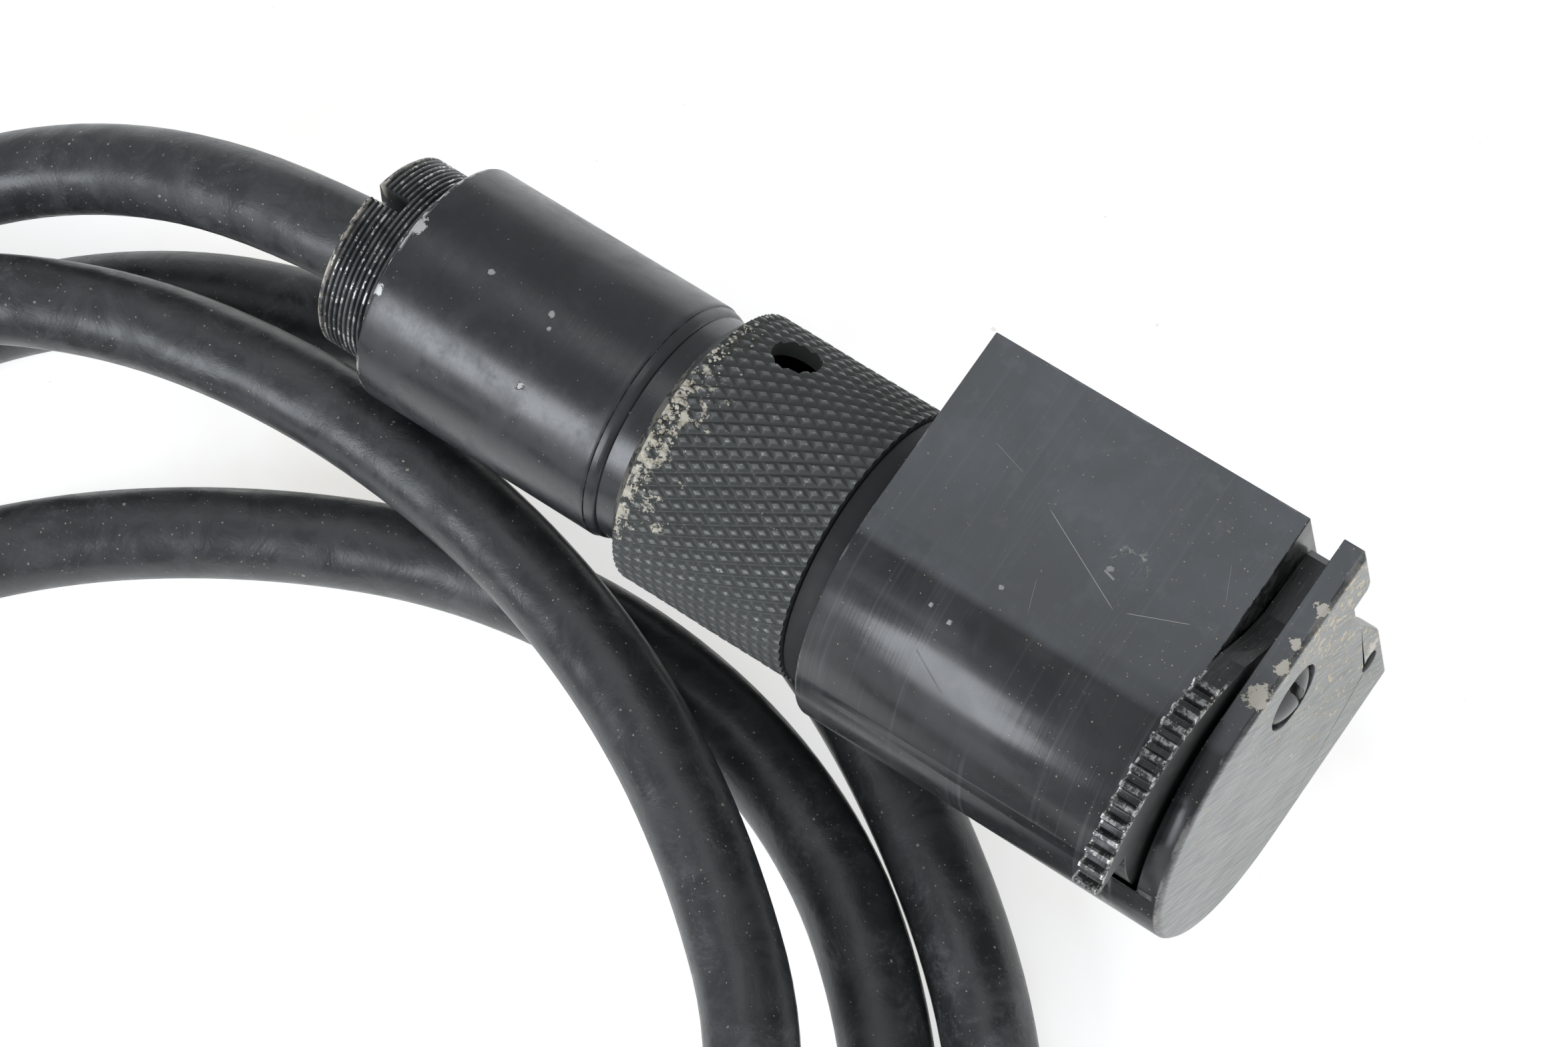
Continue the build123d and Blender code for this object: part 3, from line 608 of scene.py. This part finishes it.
# ---- mesh helpers --------------------------------------------------------------------------------
def make_piece(name, points, faces, slot, body, stands_for=(), sharp=32.0):
    """A piece from its points and faces, dressed and riding on a body."""
    mesh = bpy.data.meshes.new(name)
    mesh.from_pydata([tuple(p) for p in points], [], [tuple(int(i) for i in face) for face in faces])
    mesh.update()
    obj = bpy.data.objects.new(name, mesh)
    bpy.context.scene.collection.objects.link(obj)
    return dress(obj, slot, body, stands_for, sharp)


def dress(obj, slot, body, stands_for=(), sharp=32.0):
    """Shades a piece, gives it its finish, sets it riding on its body and hides the parts it stands for."""
    obj.data.shade_smooth()
    if sharp:
        obj.data.set_sharp_from_angle(angle=math.radians(sharp))
    obj.data.materials.clear()
    obj.data.materials.append(FINISH[slot])
    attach(obj, body)
    if stands_for:
        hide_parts(*stands_for)
    return obj


def lathe_points(profile, segments):
    """Points of a closed profile of (x, r) turned about X, in metres, and its quads."""
    turn = np.arange(segments) * (2 * math.pi / segments)
    points = np.empty((segments, len(profile), 3))
    for i, (x, r) in enumerate(profile):
        points[:, i, 0] = x
        points[:, i, 1] = r * np.sin(turn)
        points[:, i, 2] = r * np.cos(turn)
    count = len(profile)
    a = np.arange(segments)[:, None] * count
    b = ((np.arange(segments) + 1) % segments)[:, None] * count
    i = np.arange(count)[None, :]
    j = (np.arange(count) + 1)[None, :] % count
    faces = np.stack([a + i, a + j, b + j, b + i], axis=-1).reshape(-1, 4)
    return points.reshape(-1, 3), faces


def cut(obj, cutter):
    """Takes the cutter out of the piece for good."""
    tool = obj.modifiers.new("cut", "BOOLEAN")
    tool.operation = "DIFFERENCE"
    tool.solver = "EXACT"
    tool.object = cutter
    bpy.context.view_layer.update()
    result = bpy.data.meshes.new_from_object(obj.evaluated_get(bpy.context.evaluated_depsgraph_get()))
    obj.modifiers.clear()
    obj.data = result
    bpy.data.objects.remove(cutter)


def block(size, matrix):
    """A box-shaped cutter."""
    shape = bmesh.new()
    bmesh.ops.create_cube(shape, size=1.0, matrix=matrix @ Matrix.Diagonal((*size, 1.0)))
    mesh = bpy.data.meshes.new("cutter")
    shape.to_mesh(mesh)
    shape.free()
    obj = bpy.data.objects.new("cutter", mesh)
    bpy.context.scene.collection.objects.link(obj)
    return obj


def rod(radius, length, matrix, segments=64):
    """A round cutter along the matrix's Z, from its origin."""
    shape = bmesh.new()
    bmesh.ops.create_cone(
        shape, cap_ends=True, segments=segments, radius1=radius, radius2=radius, depth=length,
        matrix=matrix @ Matrix.Translation((0, 0, length / 2)),
    )
    mesh = bpy.data.meshes.new("cutter")
    shape.to_mesh(mesh)
    shape.free()
    obj = bpy.data.objects.new("cutter", mesh)
    bpy.context.scene.collection.objects.link(obj)
    return obj


# ---- barrel: turned, with rounded rims -----------------------------------------------------------
barrel_low, barrel_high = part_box("barrel")
barrel_r = barrel_high.z
left_rim = barrel_low.x
RIM_ROUND = 0.34 * MM
barrel_right = 12.435 * MM
profile = [(left_rim, 9.05 * MM), (left_rim, barrel_r - RIM_ROUND)]
for step in range(1, 8):
    angle = math.radians(90 * step / 8)
    across = left_rim + RIM_ROUND * (1 - math.cos(angle))
    profile.append((across, barrel_r - RIM_ROUND * (1 - math.sin(angle))))
profile.append((left_rim + RIM_ROUND, barrel_r))
for step in range(1, 24):
    profile.append((left_rim + RIM_ROUND + step * MM, barrel_r))
profile += [
    (barrel_right - 1.16 * MM, barrel_r), (barrel_right - 1.11 * MM, barrel_r - 0.03 * MM),
    (barrel_right - 1.09 * MM, barrel_r - 0.09 * MM), (barrel_right - 1.06 * MM, barrel_r - 0.14 * MM),
    (barrel_right - 0.70 * MM, barrel_r - 0.17 * MM), (barrel_right - 0.40 * MM, barrel_r - 0.23 * MM),
    (barrel_right - 0.20 * MM, barrel_r - 0.31 * MM), (barrel_right - 0.06 * MM, barrel_r - 0.42 * MM),
    (barrel_right, barrel_r - 0.52 * MM), (14.35 * MM, 10.5 * MM), (14.35 * MM, 9.5 * MM),
    (23.4 * MM, 9.5 * MM), (23.4 * MM, 8.0 * MM), (-0.6 * MM, 8.0 * MM), (-0.6 * MM, 5.0 * MM),
    (-2.6 * MM, 5.0 * MM), (-2.6 * MM, 9.05 * MM),
]
make_piece("barrel_turned", *lathe_points(profile, 256), "black_metal", "head", ["barrel"], sharp=40)

# ---- gland nut: thread rings and the driver slots ------------------------------------------------
gland_low, gland_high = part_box("gland_nut")
gland_r = gland_high.z
face_x = gland_low.x
bore = 4.5 * MM
profile = [(face_x, bore + 0.25 * MM), (face_x, gland_r - 0.62 * MM), (face_x + 0.08 * MM, gland_r - 0.42 * MM)]
THREAD_PITCH = 0.5 * MM
x = face_x + 0.32 * MM
while x < left_rim + 0.4 * MM:
    profile += [
        (x, gland_r - 0.30 * MM), (x + 0.13 * MM, gland_r - 0.03 * MM), (x + 0.19 * MM, gland_r),
        (x + 0.27 * MM, gland_r), (x + 0.33 * MM, gland_r - 0.03 * MM), (x + 0.46 * MM, gland_r - 0.30 * MM),
    ]
    x += THREAD_PITCH
profile += [
    (x, gland_r - 0.1 * MM), (gland_high.x, gland_r - 0.1 * MM), (gland_high.x, bore),
    (face_x + 0.25 * MM, bore),
]
gland = make_piece("gland_nut_threaded", *lathe_points(profile, 192), "thread_metal", "head", ["gland_nut"])
SLOT_DEPTH = 3.3 * MM
SLOT_WIDTH = 1.6 * MM
slot_turn = Matrix.Rotation(math.radians(-14.0), 4, "X")
cut(gland, block((2 * SLOT_DEPTH, SLOT_WIDTH, 30 * MM), Matrix.Translation((face_x, 0, 0)) @ slot_turn))
gland.data.set_sharp_from_angle(angle=math.radians(32))

# ---- union nut: rolled diamond knurl, chamfer band, tommy hole -----------------------------------
nut_low, nut_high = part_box("union_nut")
NUT_R = nut_high.z
STARTS = 64
LEAD = STARTS * math.tan(math.radians(30)) / (2 * math.pi * NUT_R)
around, along = 832, 150
turn = np.arange(around) * (2 * math.pi / around)
first, last = 15.62 * MM, nut_high.x - 0.12 * MM
stations = np.linspace(first, last, along)


def groove(phase, depth, width):
    """V grooves of that depth, as wide as that share of the spacing."""
    off = np.abs(phase - np.floor(phase) - 0.5) * 2
    return depth * np.clip(1 - off / width, 0, 1)


theta, xs = np.meshgrid(turn, stations, indexing="ij")
worn = 0.5 + 0.25 * np.sin(3 * theta + 410 * xs) + 0.25 * np.sin(7 * theta - 655 * xs + 1.7)
strong = groove(STARTS * theta / (2 * math.pi) - LEAD * xs, 0.36 * MM, 0.72)
weak = groove(STARTS * theta / (2 * math.pi) + LEAD * xs, 0.27 * MM, 0.62)
fade = np.clip((xs - first) / (0.35 * MM), 0, 1) * np.clip((last - xs) / (0.25 * MM), 0, 1)
radii = NUT_R - 0.015 * MM - np.maximum(strong, weak) * (0.75 + 0.25 * fade) - 0.035 * MM * worn
before = [(nut_low.x, 9.65 * MM), (nut_low.x, 11.0 * MM), (nut_low.x + 0.06 * MM, 11.10 * MM),
          (nut_low.x + 0.96 * MM, 12.24 * MM), (nut_low.x + 1.02 * MM, 12.32 * MM)]
after = [(nut_high.x - 0.04 * MM, 12.25 * MM), (nut_high.x, 12.1 * MM), (nut_high.x, 11.12 * MM),
         (17.8 * MM, 11.12 * MM), (17.8 * MM, 9.65 * MM)]
count = len(before) + along + len(after)
grid = np.empty((around, count, 2))
grid[:, :len(before)] = before
grid[:, len(before):len(before) + along, 0] = xs
grid[:, len(before):len(before) + along, 1] = radii
grid[:, len(before) + along:] = after
reach_y = grid[..., 1] * np.sin(turn)[:, None]
reach_z = grid[..., 1] * np.cos(turn)[:, None]
points = np.stack([grid[..., 0], reach_y, reach_z], axis=-1)
faces = lathe_points([(0, 0)] * count, around)[1]
nut = make_piece(
    "union_nut_knurled", points.reshape(-1, 3), faces, "knurl_metal", "union_nut", ["union_nut"], sharp=50,
)
HOLE_RADIUS = 2.15 * MM
hole_turn = Matrix.Rotation(math.radians(-42.5), 4, "X")
cut(nut, rod(HOLE_RADIUS, 8 * MM, hole_turn @ Matrix.Translation((21.0 * MM, 0, 9.0 * MM))))

# ---- plug: boot, body, and the coupling nut with its straight knurl ------------------------------
plug_along = (route[-1] - route[-2]).normalized()
plug_turn = Vector((1, 0, 0)).rotation_difference(plug_along).to_matrix().to_4x4()
plug_frame = Matrix.Translation(route[-1]) @ plug_turn
BOOT = 22.0


def turned_on_plug(name, profile, slot, body, stands_for, sharp=32.0, segments=96, ripple=None):
    """A piece turned about the plug's axis, from a profile in millimetres along it from the cable's end."""
    points, faces = lathe_points([(x * MM, r * MM) for x, r in profile], segments)
    if ripple:
        points = ripple(points)
    points = [plug_frame @ Vector(p) for p in points]
    return make_piece(name, points, faces, slot, body, stands_for, sharp)


profile = [(0.0, 4.02), (0.0, 4.75), (0.25, 4.95)]
for rib in range(6):
    start = 1.2 + rib * 2.9
    r0 = 5.0 + 1.6 * start / 19.0
    profile += [(start, r0), (start + 0.15, r0 - 0.05), (start + 0.3, r0 - 0.42), (start + 0.95, r0 - 0.42),
                (start + 1.1, r0 - 0.02), (start + 1.25, r0 + 0.08)]
profile += [(19.0, 6.5), (21.6, 6.55), (BOOT, 6.35), (BOOT, 4.02)]
boot = turned_on_plug("boot_ribbed", profile, "boot_rubber", "head", ["cable_boot"], sharp=45)


def straight_knurl(points):
    """Axial serrations on the outer face of the coupling nut."""
    radius = np.hypot(points[:, 1], points[:, 2])
    angle = np.arctan2(points[:, 1], points[:, 2])
    within = (points[:, 0] > (BOOT + 9.3) * MM) & (points[:, 0] < (BOOT + 19.9) * MM)
    on_knurl = (radius > 7.3 * MM) & within
    phase = angle * 48 / (2 * math.pi)
    off = np.abs(phase - np.floor(phase) - 0.5) * 2
    scale = 1 - np.where(on_knurl, 0.30 * MM * np.clip(1 - off / 0.8, 0, 1), 0) / np.maximum(radius, 1e-6)
    points = points.copy()
    points[:, 1] *= scale
    points[:, 2] *= scale
    return points


profile = [
    (BOOT + 8.2, 6.0), (BOOT + 8.2, 7.2), (BOOT + 8.4, 7.42), (BOOT + 9.0, 7.48), (BOOT + 9.2, 7.3),
    (BOOT + 9.4, 7.48), (BOOT + 12.0, 7.5), (BOOT + 14.6, 7.5), (BOOT + 17.2, 7.5), (BOOT + 19.8, 7.48),
    (BOOT + 20.0, 7.3), (BOOT + 20.2, 7.46), (BOOT + 20.8, 7.42), (BOOT + 21.0, 7.2), (BOOT + 21.0, 6.62),
    (BOOT + 17.7, 6.62), (BOOT + 17.7, 6.0),
]
plug_nut = turned_on_plug(
    "plug_nut_knurled", profile, "plug_knurl", "plug_nut", ["plug_nut"], 40, 384, straight_knurl,
)

# ---- dirt crumbs caught in the knurl at the left edge of the nut ---------------------------------
dice = random.Random(7)
crumbs = bmesh.new()
for index in range(150):
    spread = abs(dice.gauss(0.0, 1.0))
    x = (15.75 + 0.9 * spread) * MM
    swing = math.radians(dice.uniform(-42, 30) if index < 110 else dice.uniform(-75, 50))
    size = dice.uniform(0.05, 0.19) * MM * (1.1 if spread < 1 else 0.7)
    r = NUT_R - dice.uniform(0.05, 0.20) * MM
    centre = Vector((x, -r * math.sin(swing), r * math.cos(swing)))
    made = bmesh.ops.create_icosphere(crumbs, subdivisions=1, radius=size, matrix=Matrix.Translation(centre))
    flatten = centre.copy()
    flatten.x = 0
    flatten.normalize()
    for vertex in made["verts"]:
        away = vertex.co - centre
        away *= dice.uniform(0.6, 1.25)
        away -= flatten * away.dot(flatten) * 0.45
        vertex.co = centre + away
        reach = math.hypot(vertex.co.y, vertex.co.z)
        if reach > NUT_R + 0.03 * MM:
            vertex.co.y *= (NUT_R + 0.03 * MM) / reach
            vertex.co.z *= (NUT_R + 0.03 * MM) / reach
crumb_mesh = bpy.data.meshes.new("nut_crumbs")
crumbs.to_mesh(crumb_mesh)
crumbs.free()
FINISH["crumb"] = moulded("dirt", (0.44, 0.39, 0.29), (0.74, 0.70, 0.60), 0.85, 2500.0)
nut_crumbs = bpy.data.objects.new("nut_crumbs", crumb_mesh)
bpy.context.scene.collection.objects.link(nut_crumbs)
nut_crumbs.data.materials.append(FINISH["crumb"])
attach(nut_crumbs, "union_nut")

# ---- the cable's finish and body; the CAD cable is hidden ----------------------------------------
cable_line.materials.append(FINISH["cable_rubber"])
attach(cable, "head")
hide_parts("cable")

# ---- floor, light --------------------------------------------------------------------------------
floor_mesh = bpy.data.meshes.new("floor")
reach = 2.5
floor_mesh.from_pydata(
    [(-reach, -reach, FLOOR), (reach, -reach, FLOOR), (reach, reach, FLOOR), (-reach, reach, FLOOR)],
    [], [(0, 1, 2, 3)],
)
floor = bpy.data.objects.new("floor", floor_mesh)
bpy.context.scene.collection.objects.link(floor)
paper = Finish("paper", Roughness=0.9, Emission_Strength=0.80)
stain = paper.band(paper.noise((14.0, 14.0, 14.0), detail=6.0, rough=0.65), 0.45, 0.75)
marks = paper.times(paper.specks(0.0004, 0.012), 0.35)
tone = paper.mix(stain, (0.86, 0.86, 0.86), (0.80, 0.785, 0.745))
tone = paper.mix(marks, tone, (0.45, 0.40, 0.30))
paper.put(paper.shader.inputs["Emission Color"], tone)
floor_mesh.materials.append(paper.done(tone))

world = bpy.data.worlds.new("studio")
world.use_nodes = True
world.node_tree.nodes["Background"].inputs["Color"].default_value = (0.93, 0.96, 1.0, 1.0)
world.node_tree.nodes["Background"].inputs["Strength"].default_value = 0.48
bpy.context.scene.world = world


def softbox(name, towards, distance, width, height, radiance, colour=(1.0, 1.0, 1.0)):
    """A rectangular light of even radiance, seen from the object in that direction."""
    lamp = bpy.data.lights.new(name, "AREA")
    lamp.shape = "RECTANGLE"
    lamp.size = width
    lamp.size_y = height
    lamp.energy = radiance * math.pi * width * height
    lamp.color = colour
    obj = bpy.data.objects.new(name, lamp)
    bpy.context.scene.collection.objects.link(obj)
    direction = Vector(towards).normalized()
    obj.location = Vector((0.03, -0.02, 0.0)) + direction * distance
    obj.rotation_mode = "QUATERNION"
    obj.rotation_quaternion = direction.to_track_quat("Z", "Y")
    return obj


softbox("key", (-0.33, -0.84, 0.50), 1.1, 0.55, 0.50, 7.0, (0.90, 0.94, 1.0))
softbox("overhead", (-0.25, 0.21, 0.95), 1.1, 0.50, 0.50, 1.0, (0.97, 0.98, 1.0))

bpy.context.scene.view_settings.view_transform = "Standard"
bpy.context.scene.view_settings.look = "None"
bpy.context.scene.view_settings.exposure = 0.0
bpy.context.scene.view_settings.gamma = 1.0
